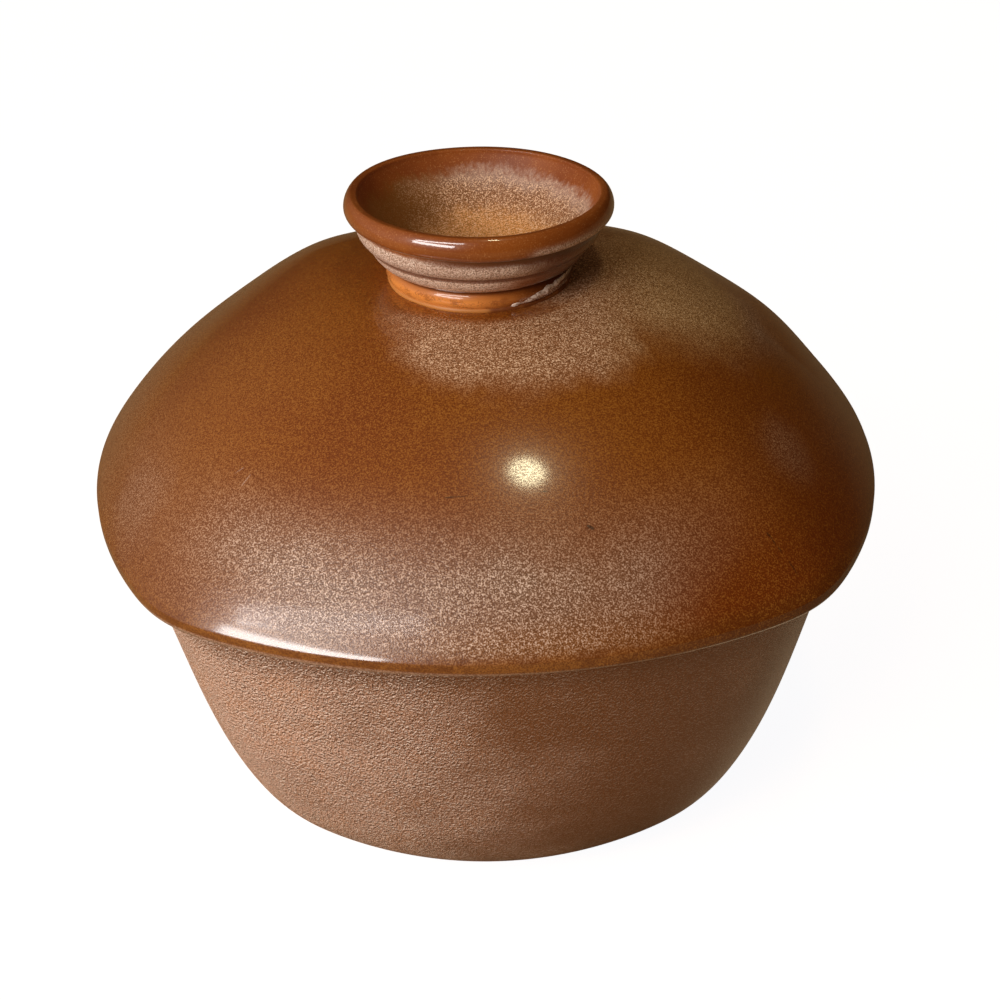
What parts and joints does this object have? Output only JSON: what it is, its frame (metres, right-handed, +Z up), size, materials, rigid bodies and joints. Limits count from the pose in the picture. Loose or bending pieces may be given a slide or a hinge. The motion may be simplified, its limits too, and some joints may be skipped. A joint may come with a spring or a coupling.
{
  "type": "covered casserole",
  "caption": "Rounded-square stoneware casserole: flared cast pot on a ring foot, domed lift-off lid with a locating flange, and a ribbed, cup-shaped knob.",
  "frame": {"origin": "on the table, under the middle of the pot's ring foot", "axes": "+Z up along the way the lid lifts; -Y faces the picture's camera, square to one bowed side; +X to the right in the picture"},
  "size_m": [0.216, 0.216, 0.1799],
  "materials": {
    "pot_glaze": "satin brown glaze, wrinkled and flecked with pinkish tan",
    "lid_glaze": "satin warm brown glaze with frosted tan patches",
    "knob_glaze": "glossy red-brown glaze, frosted on the ribs"
  },
  "bodies": {
    "pot": {"pot": "pot_glaze"},
    "lid": {"lid": "lid_glaze", "knob": "knob_glaze"}
  },
  "joints": [
    {"name": "lid_lift", "type": "slide", "parent": "pot", "child": "lid", "axis": [0, 0, 1], "range_m": [0, 0.15]}
  ]
}
